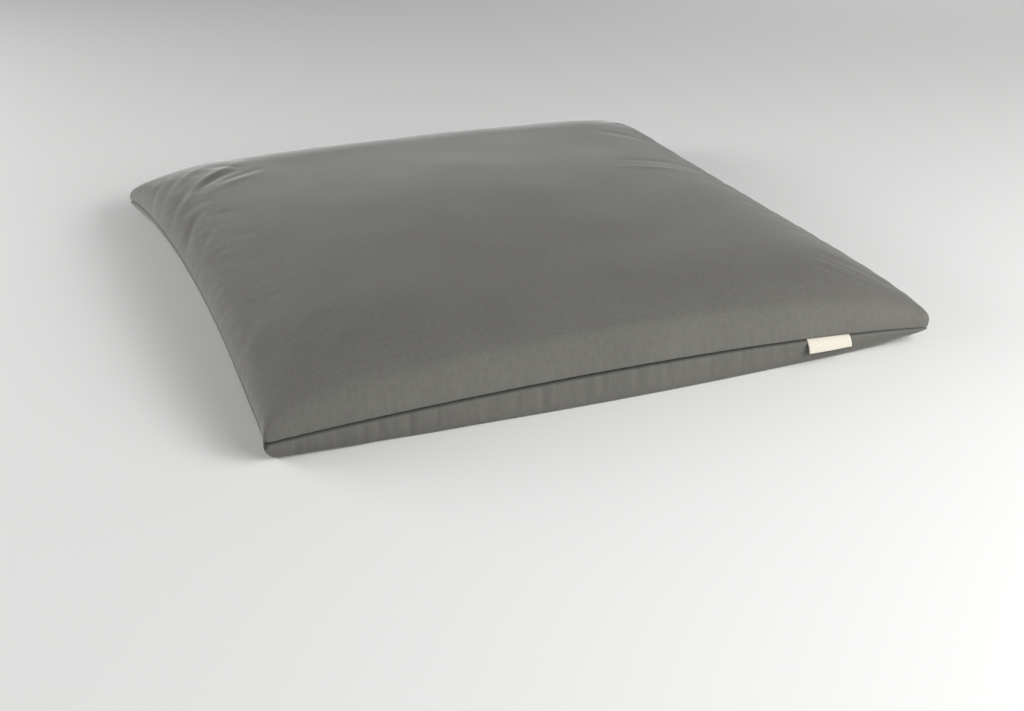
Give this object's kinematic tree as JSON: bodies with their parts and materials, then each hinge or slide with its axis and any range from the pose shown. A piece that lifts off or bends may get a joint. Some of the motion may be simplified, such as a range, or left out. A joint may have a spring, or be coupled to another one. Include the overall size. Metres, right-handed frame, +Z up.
{
  "type": "meditation mat",
  "caption": "Low filled square floor mat for sitting in meditation: crowned top, seam round the rim, tucked corners and a folded ribbon label in the front seam",
  "frame": {"origin": "on the surface that the mat rests on, in the middle of its flat underside and of its seamed square", "axes": "+Z up, +X to the right along the front edge, +Y towards the back; the label is in the front seam, near +X"},
  "size_m": [0.7935, 0.8033, 0.1085],
  "materials": {
    "cover_cotton": "plain woven cotton, warm mid grey, matt with a soft sheen at grazing angles",
    "label_ribbon": "fine woven ribbon, cream, matt, folded once"
  },
  "bodies": {
    "root": {"mat": "cover_cotton", "label": "label_ribbon"}
  },
  "joints": []
}
